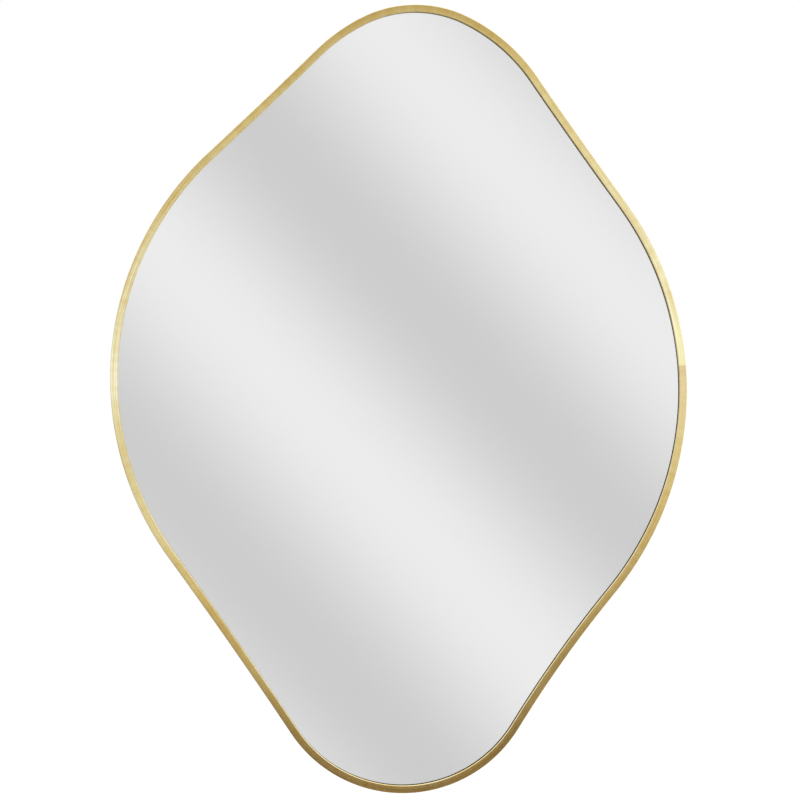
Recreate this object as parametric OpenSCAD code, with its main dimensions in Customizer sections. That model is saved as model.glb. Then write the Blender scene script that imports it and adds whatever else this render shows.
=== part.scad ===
// Wall mirror with a soft, lopsided diamond outline in a slim brushed metal frame.
// X runs to the right, Z runs up and Y runs into the wall.
// The wall is the plane Y = 0, and the origin is at the middle of the outline on it.

/* [Outline] */
// Width over the frame
mirror_w = 558; // [530:1:600]
// Height over the frame
mirror_h = 762; // [740:1:800]
// Radius of the right-hand corner
right_r = 309; // [290:1:320]
// Height of the right-hand corner above mid-height
right_rise = 8; // [0:0.5:16]
// Radius of the left-hand corner
left_r = 296; // [280:1:310]
// Height of the left-hand corner above mid-height
left_rise = 21.5; // [10:0.5:30]
// Radius at the tip of the top corner
top_r = 115; // [100:1:130]
// Radius of the two shoulders beside the top tip
top_shoulder_r = 174; // [150:1:190]
// Angle of the tip arc between its shoulders
top_tip_angle = 52; // [40:1:60]
// Shift of the top corner to the right
top_shift = 15.5; // [0:0.5:25]
// Radius of the bottom corner
bottom_r = 131; // [115:1:150]
// Shift of the bottom corner to the right
bottom_shift = 4; // [-5:0.5:15]
// Hollow radius of the upper sides and the lower left side
side_hollow_r = 5000; // [3000:50:9000]
// Hollow radius of the lower right side
lower_right_hollow_r = 1150; // [900:10:2000]

/* [Frame profile] */
// Depth of the frame from its front face to its rear rim
frame_depth = 20; // [19:0.5:30]
// Width of the front lip, which is the visible face
lip_w = 7.5; // [6.5:0.5:12]
// Thickness of the front lip
lip_t = 1.4; // [1:0.1:2]
// Thickness of the outer wall
wall_t = 1.5; // [1:0.1:2]
// Width of the rear rib, from the outer face
rib_w = 12; // [11:0.5:16]
// Thickness of the rear rib
rib_t = 1.4; // [1:0.1:2]
// Hairline gap where the two ends of the bent profile meet
seam_gap = 0.15; // [0.05:0.05:0.4]
// Height of that joint above mid-height, on the right-hand corner
seam_rise = 28; // [10:1:45]

/* [Glass and backing] */
// Thickness of the silvered glass
glass_t = 4; // [3:0.5:5]
// Free space between the outer wall and the edges of glass and board
edge_gap = 0.8; // [0.4:0.1:1.5]
// Thickness of the glazing tape behind the lip
tape_t = 1; // [0.8:0.1:1.5]
// Width of the glazing tape
tape_w = 3.5; // [2:0.5:4]
// Distance that the tape stays back from the edge of the lip
tape_setback = 1.2; // [0.5:0.1:1.5]
// Thickness of the safety film on the back of the glass
film_t = 0.2; // [0.1:0.05:0.4]
// Distance of the film from the glass edge
film_margin = 2; // [1:0.5:5]
// Thickness of the foam bonding strips
strip_t = 1; // [0.8:0.1:1.5]
// Width of one bonding strip
strip_w = 20; // [12:1:30]
// Length of one bonding strip
strip_len = 300; // [200:5:340]
// Number of bonding strips
strip_count = 5; // [3:2:5]
// Distance between the strips' middles
strip_pitch = 80; // [50:1:85]
// Thickness of the backing board
board_t = 5; // [4:0.5:6]

/* [Frame joint] */
// Length of the joint plate along the frame
joint_plate_len = 60; // [45:1:80]
// Thickness of the joint plate
joint_plate_t = 1.6; // [1:0.1:2]
// Width of the joint plate
joint_plate_w = 8.5; // [8:0.5:9]
// Distance of the inner screws from the seam
joint_screw_first = 9; // [7:0.5:12]
// Distance from the inner to the outer screws
joint_screw_pitch = 14; // [8:0.5:16]
// Diameter of the joint screws
joint_screw_d = 2.9; // [2.5:0.1:3.5]
// Length of the joint screws under the head
joint_screw_len = 7; // [5.5:0.5:7.5]

/* [Hangers] */
// Height of the portrait hanger pins above mid-height
portrait_rise = 178; // [120:1:200]
// Distance between the two portrait hangers
portrait_spread = 300; // [220:1:320]
// Shift of the portrait hangers to the right, over the mirror's centre of mass
portrait_shift = 2; // [-10:1:10]
// Distance of the landscape hanger pins in from the left side of the frame
landscape_reach = 83; // [75:1:125]
// Distance between the two landscape hangers
landscape_spread = 200; // [160:1:280]
// Height of the middle between the landscape hangers, level with the centre of mass
landscape_rise = 4; // [-10:1:20]
// Width of the hanger strap
strap_w = 12; // [9:0.5:13]
// Length of the strap from the pin to its round end
strap_len = 36; // [34:1:45]
// Thickness of the strap
strap_t = 1; // [0.8:0.1:1.2]
// Angle of the strap's curl round the pin
curl_angle = 295; // [280:5:310]
// Diameter of the ring's wire
ring_wire_d = 2.5; // [2:0.1:3]
// Width of the ring between the middles of its sides
ring_w = 20; // [19:0.5:26]
// Reach of the ring from its pin to the middle of its bow
ring_reach = 16; // [14:0.5:17]
// Bend radius at the ring's two corners
ring_bend_r = 2.5; // [2:0.1:2.8]
// Radial play of the ring's pin in the curl
pin_play = 0.08; // [0.04:0.01:0.1]
// Gap between the resting ring and the board
ring_rest_gap = 0.3; // [0.2:0.1:0.5]
// Distance of the first strap screw from the pin
strap_screw_first = 9; // [8:0.5:10]
// Distance between the two strap screws
strap_screw_pitch = 16; // [14.5:0.5:17]
// Diameter of the strap screws
strap_screw_d = 3.2; // [2.8:0.1:3.5]
// Length of the strap screws under the head
strap_screw_len = 5.2; // [4:0.1:5.4]

/* [Screw heads] */
// Head diameter of the joint screws
joint_head_d = 5.4; // [4.5:0.1:6.5]
// Head diameter of the strap screws
strap_head_d = 6.2; // [5:0.1:7]
// Height of the screw heads
head_h = 1.7; // [1.2:0.1:2]
// Width of the cross recess's slots
recess_w = 0.8; // [0.5:0.1:1]
// Depth of the cross recess
recess_depth = 1; // [0.6:0.1:1.1]
// Play between a screw and its hole
screw_play = 0.05; // [0.03:0.01:0.1]

/* [Wall bumpers] */
// Diameter of a bumper at its foot
bumper_d = 12; // [8:0.5:16]
// Diameter of the bumper's face on the wall
bumper_face_d = 9; // [6:0.5:11]
// Distance that the bumpers hold the rear rim off the wall
bumper_proud = 0.5; // [0.3:0.1:1.5]
// Gap between the rib and a bumper's foot
bumper_rib_gap = 4; // [2:0.5:10]

/* [Hidden] */

brass_tone = [0.80, 0.70, 0.47];
zinc = [0.74, 0.76, 0.78];
silvered = [0.86, 0.88, 0.89];
board_brown = [0.62, 0.47, 0.32];
foam_white = [0.93, 0.93, 0.90];
tape_black = [0.10, 0.10, 0.11];
film_grey = [0.55, 0.58, 0.62];
rubber_grey = [0.25, 0.25, 0.26];

// The outline's arcs are laid out in flats that stay this close to the true curve
flatness = 0.03;
round_fn = 32;
ring_fn = 96;
plate_fn = 360;
// Extra length that takes a cut clear through a face
cut_over = 1;

// Screws: length of the point over the diameter, straight part of the head's height,
// and width of the cross recess over the head's
point_share = 0.6;
head_rim_share = 0.3;
recess_share = 0.55;

// Heights above the wall, from the rear rim to the front face
rim_h = bumper_proud;
front_h = rim_h + frame_depth;
lip_back_h = front_h - lip_t;
glass_front_h = lip_back_h - tape_t;
glass_back_h = glass_front_h - glass_t;
film_back_h = glass_back_h - film_t;
board_front_h = film_back_h - strip_t;
board_back_h = board_front_h - board_t;
rib_back_h = board_back_h - rib_t;
plate_back_h = rib_back_h - joint_plate_t;

// Distances in from the outer face of the frame
glass_inset = wall_t + edge_gap;
film_inset = glass_inset + film_margin;
tape_inner = lip_w - tape_setback;
tape_outer = tape_inner - tape_w;
joint_plate_mid = (wall_t + rib_w) / 2;

// The outline is a ring of arcs that meet without a kink.
// Each corner is one round arc, but the top one has a tip and two wider shoulders.
function along(angle) = [cos(angle), sin(angle)];
function bearing(from, to) = atan2(to.y - from.y, to.x - from.x);
function sweep_between(start, end) = (end - start + 720) % 360;

right_c = [mirror_w / 2 - right_r, right_rise];
left_c = [left_r - mirror_w / 2, left_rise];
bottom_c = [bottom_shift, bottom_r - mirror_h / 2];
top_c = [top_shift, mirror_h / 2 - top_r];
tip_start = 90 - top_tip_angle / 2;
tip_end = 90 + top_tip_angle / 2;
top_right_c = top_c - (top_shoulder_r - top_r) * along(tip_start);
top_left_c = top_c - (top_shoulder_r - top_r) * along(tip_end);

// Middle of the hollow arc that touches two corners, which follow each other
// anticlockwise, from outside
function hollow_middle(c1, r1, c2, r2, hollow_r) =
    let (
        gap = norm(c2 - c1),
        ahead = (c2 - c1) / gap,
        outward = [ahead.y, -ahead.x],
        d1 = r1 + hollow_r,
        d2 = r2 + hollow_r,
        run = (d1 * d1 - d2 * d2 + gap * gap) / (2 * gap)
    )
    c1 + run * ahead + sqrt(d1 * d1 - run * run) * outward;

upper_right_c = hollow_middle(right_c, right_r, top_right_c, top_shoulder_r, side_hollow_r);
upper_left_c = hollow_middle(top_left_c, top_shoulder_r, left_c, left_r, side_hollow_r);
lower_left_c = hollow_middle(left_c, left_r, bottom_c, bottom_r, side_hollow_r);
lower_right_c = hollow_middle(bottom_c, bottom_r, right_c, right_r, lower_right_hollow_r);

// An arc is [middle, radius, bearing of its start, swept angle]. The arcs run
// anticlockwise round the outline, so the swept angle of a hollow one is negative
function bulge(middle, r, start, end) = [middle, r, start, sweep_between(start, end)];
function hollow(middle, r, before, after) =
    let (start = bearing(middle, before))
    [middle, r, start, -sweep_between(bearing(middle, after), start)];

outline_arcs = [
    bulge(right_c, right_r, bearing(right_c, lower_right_c), bearing(right_c, upper_right_c)),
    hollow(upper_right_c, side_hollow_r, right_c, top_right_c),
    bulge(top_right_c, top_shoulder_r, bearing(top_right_c, upper_right_c), tip_start),
    bulge(top_c, top_r, tip_start, tip_end),
    bulge(top_left_c, top_shoulder_r, tip_end, bearing(top_left_c, upper_left_c)),
    hollow(upper_left_c, side_hollow_r, top_left_c, left_c),
    bulge(left_c, left_r, bearing(left_c, upper_left_c), bearing(left_c, lower_left_c)),
    hollow(lower_left_c, side_hollow_r, left_c, bottom_c),
    bulge(bottom_c, bottom_r, bearing(bottom_c, lower_left_c), bearing(bottom_c, lower_right_c)),
    hollow(lower_right_c, lower_right_hollow_r, bottom_c, right_c),
];

function flats(arc) = ceil(abs(arc[3]) / (2 * acos(1 - flatness / arc[1])));

// Points of the outline at a distance in from the outer face of the frame
function outline(inset) = [
    for (arc = outline_arcs, i = [0 : flats(arc) - 1])
        arc[0] + (arc[1] - sign(arc[3]) * inset) * along(arc[2] + arc[3] * i / flats(arc))
];

// Everything is drawn flat, with its height above the wall as Z, and stood up here
module upright() rotate([90, 0, 0]) children();

// Slab with the shape of the outline, a distance in from the frame's outer face
module slab(inset, low_h, high_h) {
    translate([0, 0, low_h])
        linear_extrude(high_h - low_h)
            polygon(outline(inset));
}

seam_angle = asin((seam_rise - right_rise) / right_r);

// Bent profile: an outer wall with a lip in front and a rib behind the board
module profile_ring() {
    difference() {
        slab(0, rim_h, front_h);
        slab(wall_t, rim_h - cut_over, rib_back_h);
        slab(rib_w, rim_h - cut_over, board_back_h + cut_over);
        slab(wall_t, board_back_h, lip_back_h);
        slab(lip_w, lip_back_h - cut_over, front_h + cut_over);
        translate(right_c)
            rotate([0, 0, seam_angle])
                translate([right_r - rib_w - cut_over, -seam_gap / 2, 0])
                    cube([rib_w + 2 * cut_over, seam_gap, front_h + cut_over]);
    }
}

// Places of the four joint screws, round the right-hand corner's middle
joint_screw_angles = [
    for (side = [-1, 1], run = [joint_screw_first, joint_screw_first + joint_screw_pitch])
        seam_angle + side * run / right_r * 180 / PI
];

// Turned over at the joint screws, at a height above the wall
module at_joint_screws(height) {
    for (angle = joint_screw_angles)
        translate([0, 0, height])
            translate(right_c + (right_r - joint_plate_mid) * along(angle))
                rotate([0, 180, 0])
                    children();
}

// Turns what follows over, so that it stands on the back of the board towards the wall
module on_board_back(place, turn) {
    translate([place.x, place.y, board_back_h])
        rotate([0, 0, turn])
            rotate([0, 180, 0])
                children();
}

// Pan-head screw with a cross recess, its head resting on height 0 and its point down
module pan_screw(d, len, head_d) {
    point_len = d * point_share;
    rim = head_h * head_rim_share;
    head_side = [
        for (angle = [0 : 15 : 90])
            [head_d / 2 * cos(angle), rim + (head_h - rim) * sin(angle)]
    ];
    difference() {
        rotate_extrude($fn = round_fn)
            polygon(concat([[0, -len], [d / 2, point_len - len], [d / 2, 0], [head_d / 2, 0]], head_side));
        for (turn = [0, 90])
            rotate([0, 0, turn])
                translate([0, 0, head_h])
                    cube([head_d * recess_share, recess_w, 2 * recess_depth], center = true);
    }
}

module screw_hole(d, depth) {
    translate([0, 0, -depth])
        cylinder(r = d / 2 + screw_play, h = depth + cut_over, $fn = round_fn);
}

// Hanger places: the pin's middle on the board, and the turn that aims the ring
portrait_left = [portrait_shift - portrait_spread / 2, portrait_rise];
portrait_right = [portrait_shift + portrait_spread / 2, portrait_rise];
landscape_pin_x = landscape_reach - mirror_w / 2;
landscape_upper = [landscape_pin_x, landscape_rise + landscape_spread / 2];
landscape_lower = [landscape_pin_x, landscape_rise - landscape_spread / 2];
portrait_turn = 0;
landscape_turn = 90;
hangers = [
    [portrait_left, portrait_turn], [portrait_right, portrait_turn],
    [landscape_upper, landscape_turn], [landscape_lower, landscape_turn],
];

pin_r = ring_wire_d / 2;
curl_bore_r = pin_r + pin_play;
pin_h = curl_bore_r + strap_t;
ring_lean = asin((pin_h - pin_r - ring_rest_gap) / ring_reach);
strap_screw_runs = [strap_screw_first, strap_screw_first + strap_screw_pitch];

// A hanger is drawn on a level board: its pin lies along X, its ring points along +Y
module at_strap_screws() {
    for (run = strap_screw_runs)
        translate([0, -run, strap_t])
            children();
}

module strap() {
    difference() {
        union() {
            translate([-strap_w / 2, strap_w / 2 - strap_len, 0])
                cube([strap_w, strap_len - strap_w / 2, strap_t]);
            translate([0, strap_w / 2 - strap_len, 0])
                cylinder(r = strap_w / 2, h = strap_t, $fn = round_fn);
            translate([-strap_w / 2, 0, pin_h])
                rotate([90, 0, 90])
                    rotate([0, 0, -90])
                        rotate_extrude(angle = curl_angle, $fn = round_fn)
                            translate([curl_bore_r, 0])
                                square([strap_t, strap_w]);
        }
        at_strap_screws() screw_hole(strap_screw_d, strap_t + cut_over);
    }
}

module ring() {
    bow_r = ring_w / 2;
    bow_y = ring_reach - bow_r;
    bar = ring_w - 2 * ring_bend_r;
    translate([0, 0, pin_h])
        rotate([-ring_lean, 0, 0]) {
            translate([-bar / 2, 0, 0])
                rotate([0, 90, 0])
                    cylinder(r = pin_r, h = bar, $fn = round_fn);
            for (side = [0, 1])
                mirror([side, 0, 0]) {
                    translate([bar / 2, ring_bend_r, 0])
                        rotate([0, 0, -90])
                            rotate_extrude(angle = 90, $fn = ring_fn)
                                translate([ring_bend_r, 0])
                                    circle(r = pin_r, $fn = round_fn);
                    translate([bow_r, ring_bend_r, 0])
                        rotate([-90, 0, 0])
                            cylinder(r = pin_r, h = bow_y - ring_bend_r, $fn = round_fn);
                }
            translate([0, bow_y, 0])
                rotate_extrude(angle = 180, $fn = ring_fn)
                    translate([bow_r, 0])
                        circle(r = pin_r, $fn = round_fn);
        }
}

module bumper(place) {
    color(rubber_grey)
        upright()
            on_board_back(place, 0)
                cylinder(d1 = bumper_d, d2 = bumper_face_d, h = board_back_h, $fn = round_fn);
}

bumper_inset = rib_w + bumper_rib_gap + bumper_d / 2;

module frame() {
    color(brass_tone)
        upright()
            difference() {
                profile_ring();
                at_joint_screws(rib_back_h)
                    screw_hole(joint_screw_d, rib_t + cut_over);
            }
}

module joint_plate() {
    plate_angle = joint_plate_len / right_r * 180 / PI;
    color(zinc)
        upright()
            difference() {
                translate([right_c.x, right_c.y, plate_back_h])
                    rotate([0, 0, seam_angle - plate_angle / 2])
                        rotate_extrude(angle = plate_angle, $fn = plate_fn)
                            translate([right_r - joint_plate_mid - joint_plate_w / 2, 0])
                                square([joint_plate_w, joint_plate_t]);
                at_joint_screws(plate_back_h)
                    screw_hole(joint_screw_d, joint_plate_t + cut_over);
            }
}

module joint_screws() {
    color(zinc)
        upright()
            at_joint_screws(plate_back_h)
                pan_screw(joint_screw_d, joint_screw_len, joint_head_d);
}

module glazing_tape() {
    color(tape_black)
        upright()
            difference() {
                slab(tape_outer, glass_front_h, lip_back_h);
                slab(tape_inner, glass_front_h - cut_over, lip_back_h + cut_over);
            }
}

module mirror_glass() {
    color(silvered)
        upright()
            slab(glass_inset, glass_back_h, glass_front_h);
}

module safety_film() {
    color(film_grey)
        upright()
            slab(film_inset, film_back_h, glass_back_h);
}

module bonding_strips() {
    color(foam_white)
        upright()
            for (i = [0 : strip_count - 1])
                translate([(i - (strip_count - 1) / 2) * strip_pitch, 0, board_front_h + strip_t / 2])
                    cube([strip_w, strip_len, strip_t], center = true);
}

module backing_board() {
    color(board_brown)
        upright()
            difference() {
                slab(glass_inset, board_back_h, board_front_h);
                for (h = hangers)
                    on_board_back(h[0], h[1])
                        at_strap_screws()
                            screw_hole(strap_screw_d, strap_screw_len);
                at_joint_screws(plate_back_h)
                    screw_hole(joint_screw_d, joint_screw_len);
            }
}

module hanger_strap(h) {
    color(zinc)
        upright()
            on_board_back(h[0], h[1])
                strap();
}

module hanger_ring(h) {
    color(zinc)
        upright()
            on_board_back(h[0], h[1])
                ring();
}

module strap_screws() {
    color(zinc)
        upright()
            for (h = hangers)
                on_board_back(h[0], h[1])
                    at_strap_screws()
                        pan_screw(strap_screw_d, strap_screw_len, strap_head_d);
}

frame();
joint_plate();
joint_screws();
glazing_tape();
mirror_glass();
safety_film();
bonding_strips();
backing_board();
hanger_strap(hangers[0]);  // portrait_strap_left
hanger_strap(hangers[1]);  // portrait_strap_right
hanger_ring(hangers[0]);  // portrait_ring_left
hanger_ring(hangers[1]);  // portrait_ring_right
hanger_strap(hangers[2]);  // landscape_strap_upper
hanger_strap(hangers[3]);  // landscape_strap_lower
hanger_ring(hangers[2]);  // landscape_ring_upper
hanger_ring(hangers[3]);  // landscape_ring_lower
strap_screws();
bumper([top_shift, mirror_h / 2 - bumper_inset]);  // bumper_top
bumper([bottom_shift, bumper_inset - mirror_h / 2]);  // bumper_bottom
bumper([bumper_inset - mirror_w / 2, left_rise]);  // bumper_left
bumper([mirror_w / 2 - bumper_inset, right_rise]);  // bumper_right
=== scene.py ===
"""Wall mirror with a soft, lopsided diamond outline in a slim brushed frame with a brass tone.

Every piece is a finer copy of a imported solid, or that solid itself in its finish. X runs to
the right, Z up and Y into the wall, and the wall is the plane Y = 0, all in metres.
"""

import logging
import math
from contextlib import contextmanager
from dataclasses import dataclass
from enum import Enum
from typing import Callable, Iterator, Sequence

import bpy
import numpy as np
from mathutils import Matrix, Vector


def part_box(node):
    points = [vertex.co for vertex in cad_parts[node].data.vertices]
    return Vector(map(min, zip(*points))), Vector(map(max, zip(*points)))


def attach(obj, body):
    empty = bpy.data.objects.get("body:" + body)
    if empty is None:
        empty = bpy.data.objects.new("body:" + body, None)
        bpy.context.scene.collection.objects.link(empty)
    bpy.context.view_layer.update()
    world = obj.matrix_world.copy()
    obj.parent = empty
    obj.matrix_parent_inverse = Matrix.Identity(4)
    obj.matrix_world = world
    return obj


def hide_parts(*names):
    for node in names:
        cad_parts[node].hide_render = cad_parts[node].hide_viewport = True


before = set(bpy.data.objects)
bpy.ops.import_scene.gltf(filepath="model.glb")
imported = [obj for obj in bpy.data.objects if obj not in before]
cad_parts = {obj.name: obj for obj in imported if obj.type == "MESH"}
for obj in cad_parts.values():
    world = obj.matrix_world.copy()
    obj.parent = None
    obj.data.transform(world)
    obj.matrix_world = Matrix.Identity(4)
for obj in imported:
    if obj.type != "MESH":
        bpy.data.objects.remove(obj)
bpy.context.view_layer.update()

LOG = logging.getLogger("mirror")

MM = 0.001
# Corners of a copied solid that lie closer together than this are one corner
MERGE = 0.002 * MM
# Triangles of a copied solid whose planes differ by less than this are one face
FLAT_ANGLE = math.radians(0.1)
# Faces that meet at less than this are shaded as one smooth surface
SMOOTH_ANGLE = math.radians(32)
# A face with more of its normal than this along +Y looks straight back at the wall
FACES_BACK = 0.99
# The width of the rounded edges on every screw
SCREW_ARRIS = 0.12 * MM
# Name of the map that runs along the bent profile
BRUSH_MAP = "brush"


class Body(str, Enum):
    """The bodies that pieces ride on."""

    MIRROR = "mirror"
    PORTRAIT_RING_LEFT = "portrait_ring_left"
    PORTRAIT_RING_RIGHT = "portrait_ring_right"
    LANDSCAPE_RING_UPPER = "landscape_ring_upper"
    LANDSCAPE_RING_LOWER = "landscape_ring_lower"


class Slot(str, Enum):
    """Names of the material slots."""

    PROFILE = "brass_toned_aluminium"
    HARDWARE = "zinc_plated_steel"
    GLASS = "silvered_glass"
    TAPE = "black_foam_tape"
    FOAM = "white_foam_tape"
    FILM = "safety_film"
    BOARD = "fibreboard"
    RUBBER = "bumper_rubber"


class Select(Enum):
    """What an edit-mode selection is made of."""

    VERTICES = (True, False, False)
    EDGES = (False, True, False)
    FACES = (False, False, True)


def linear(colour: str) -> tuple[float, float, float, float]:
    """Turns an sRGB hex colour into linear RGBA.

    Args:
        colour: The colour as "#RRGGBB".

    Returns:
        Linear red, green and blue, and an alpha of 1.
    """
    parts = [int(colour[i : i + 2], 16) / 255 for i in (1, 3, 5)]
    curved = [p / 12.92 if p <= 0.04045 else ((p + 0.055) / 1.055) ** 2.4 for p in parts]
    return (*curved, 1.0)


def add_node(tree: bpy.types.NodeTree, kind: str, settings: dict | None = None,
             inputs: dict | None = None) -> bpy.types.Node:
    """Adds one node with its settings and links.

    Args:
        tree: The node tree that the node goes into.
        kind: The node's type name.
        settings: Values for the node's own properties.
        inputs: For each socket, by name or number, a value or the output linked to it.

    Returns:
        The new node.
    """
    node = tree.nodes.new(kind)
    for key, value in (settings or {}).items():
        setattr(node, key, value)
    for key, value in (inputs or {}).items():
        if isinstance(value, bpy.types.NodeSocket):
            tree.links.new(value, node.inputs[key])
        else:
            node.inputs[key].default_value = value
    return node


def new_material(name: str) -> bpy.types.Material:
    """Makes an empty node material with that name."""
    material = bpy.data.materials.new(name)
    material.use_nodes = True
    material.node_tree.nodes.clear()
    return material


class Finish:
    """A real finish, which becomes a node material."""

    name: str

    def shader(self, tree: bpy.types.NodeTree) -> bpy.types.Node:
        """Adds the finish's nodes and returns its principled shader."""
        raise NotImplementedError

    def material(self) -> bpy.types.Material:
        """Builds the finish as a material."""
        material = new_material(self.name)
        tree = material.node_tree
        shader = self.shader(tree)
        add_node(tree, "ShaderNodeOutputMaterial", {}, {"Surface": shader.outputs["BSDF"]})
        return material


def repeats(*lengths_mm: float) -> tuple[float, ...]:
    """Returns how often lengths fit into a metre, the scale of a pattern of that size."""
    return tuple(1 / (length * MM) for length in lengths_mm)


def deselect_all() -> None:
    """Deselects every object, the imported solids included."""
    bpy.ops.object.select_all(action="DESELECT")


def make_active(piece: bpy.types.Object) -> None:
    """Selects one object and makes it the active one."""
    deselect_all()
    piece.select_set(True)
    bpy.context.view_layer.objects.active = piece


@contextmanager
def editing(piece: bpy.types.Object, kind: Select = Select.EDGES) -> Iterator[None]:
    """Opens a piece in edit mode with the selection that its mesh holds.

    Args:
        piece: The piece to edit.
        kind: What the selection is made of.

    Yields:
        Nothing; edit mode is left at the end.
    """
    make_active(piece)
    bpy.context.tool_settings.mesh_select_mode = kind.value
    bpy.ops.object.mode_set(mode="EDIT")
    yield
    bpy.ops.object.mode_set(mode="OBJECT")


def clear_selection(mesh: bpy.types.Mesh) -> None:
    """Deselects a mesh's corners, edges and faces."""
    for part in (mesh.vertices, mesh.edges, mesh.polygons):
        part.foreach_set("select", [False] * len(part))


def corner_array(mesh: bpy.types.Mesh) -> np.ndarray:
    """Returns a mesh's corners as rows of x, y and z."""
    flat = np.zeros(len(mesh.vertices) * 3)
    mesh.vertices.foreach_get("co", flat)
    return flat.reshape(-1, 3)


def select_edges(piece: bpy.types.Object, wanted: Callable[[np.ndarray], np.ndarray]) -> int:
    """Selects the edges both of whose ends are wanted.

    Args:
        piece: The piece whose mesh is searched.
        wanted: Says for rows of corners which of them belong.

    Returns:
        The number of edges selected.
    """
    mesh = piece.data
    clear_selection(mesh)
    belongs = wanted(corner_array(mesh))
    ends = np.zeros(len(mesh.edges) * 2, int)
    mesh.edges.foreach_get("vertices", ends)
    both = belongs[ends.reshape(-1, 2)].all(axis=1)
    mesh.edges.foreach_set("select", both)
    return int(both.sum())


def select_faces(piece: bpy.types.Object,
                 wanted: Callable[[bpy.types.MeshPolygon], bool]) -> None:
    """Selects the faces that are wanted.

    Args:
        piece: The piece whose faces are searched.
        wanted: Says of a face whether it belongs.
    """
    clear_selection(piece.data)
    for face in piece.data.polygons:
        face.select = wanted(face)


def twin_of(piece: bpy.types.Object, name: str, move: Matrix) -> bpy.types.Object:
    """Copies a finished piece to another place, with a mesh of its own.

    Args:
        piece: The piece to copy.
        name: The copy's name.
        move: Where the copy's mesh goes from the first one's place.

    Returns:
        The copy, at the origin.
    """
    twin = bpy.data.objects.new(name, piece.data.copy())
    twin.data.name = name
    twin.data.transform(move)
    bpy.context.scene.collection.objects.link(twin)
    return twin


def copy_of(node: str, name: str) -> bpy.types.Object:
    """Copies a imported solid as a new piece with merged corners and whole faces.

    Args:
        node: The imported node's name.
        name: The new piece's name.

    Returns:
        The new piece, at the origin.
    """
    piece = bpy.data.objects.new(name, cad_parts[node].data.copy())
    piece.data.name = name
    piece.data.materials.clear()
    bpy.context.scene.collection.objects.link(piece)
    with editing(piece, Select.VERTICES):
        bpy.ops.mesh.customdata_custom_splitnormals_clear()
        bpy.ops.mesh.select_all(action="SELECT")
        bpy.ops.mesh.remove_doubles(threshold=MERGE)
        bpy.ops.mesh.dissolve_limited(angle_limit=FLAT_ANGLE)
    return piece


def round_sharp_edges(piece: bpy.types.Object, radius: float, segments: int = 2,
                      sharpness: float = math.radians(40)) -> None:
    """Rounds every sharp edge of a piece.

    Args:
        piece: The piece to round.
        radius: The width of the rounding, in metres.
        segments: The number of faces across it.
        sharpness: The least angle of an edge that is rounded.
    """
    with editing(piece):
        bpy.ops.mesh.select_all(action="DESELECT")
        bpy.ops.mesh.edges_select_sharp(sharpness=sharpness)
        bpy.ops.mesh.bevel(offset=radius, segments=segments, profile=0.5, affect="EDGES")


def shade(piece: bpy.types.Object) -> None:
    """Shades a piece smooth but for its sharp edges, with its flat faces kept flat."""
    make_active(piece)
    bpy.ops.object.shade_smooth_by_angle(angle=SMOOTH_ANGLE, keep_sharp_edges=False)
    modifier = piece.modifiers.new("weights", "WEIGHTED_NORMAL")
    modifier.keep_sharp = True
    bpy.ops.object.modifier_apply(modifier=modifier.name)


def hand_over(piece: bpy.types.Object, body: Body, slot: Slot,
              finishes: Sequence[bpy.types.Material], *nodes: str) -> None:
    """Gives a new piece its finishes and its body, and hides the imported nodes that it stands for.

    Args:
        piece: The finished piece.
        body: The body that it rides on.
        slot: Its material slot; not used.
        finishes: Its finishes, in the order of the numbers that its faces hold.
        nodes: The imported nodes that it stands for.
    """
    for finish in finishes:
        piece.data.materials.append(finish)
    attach(piece, body.value)
    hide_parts(*nodes)
    LOG.info("%s: %d faces on body %s", piece.name, len(piece.data.polygons), body.value)


def dress_node(node: str, material: bpy.types.Material) -> None:
    """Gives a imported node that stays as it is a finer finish.

    Args:
        node: The node's name.
        material: Its new finish.
    """
    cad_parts[node].material_slots[0].material = material
    LOG.info("%s: packed solid in %s", node, material.name)


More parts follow.
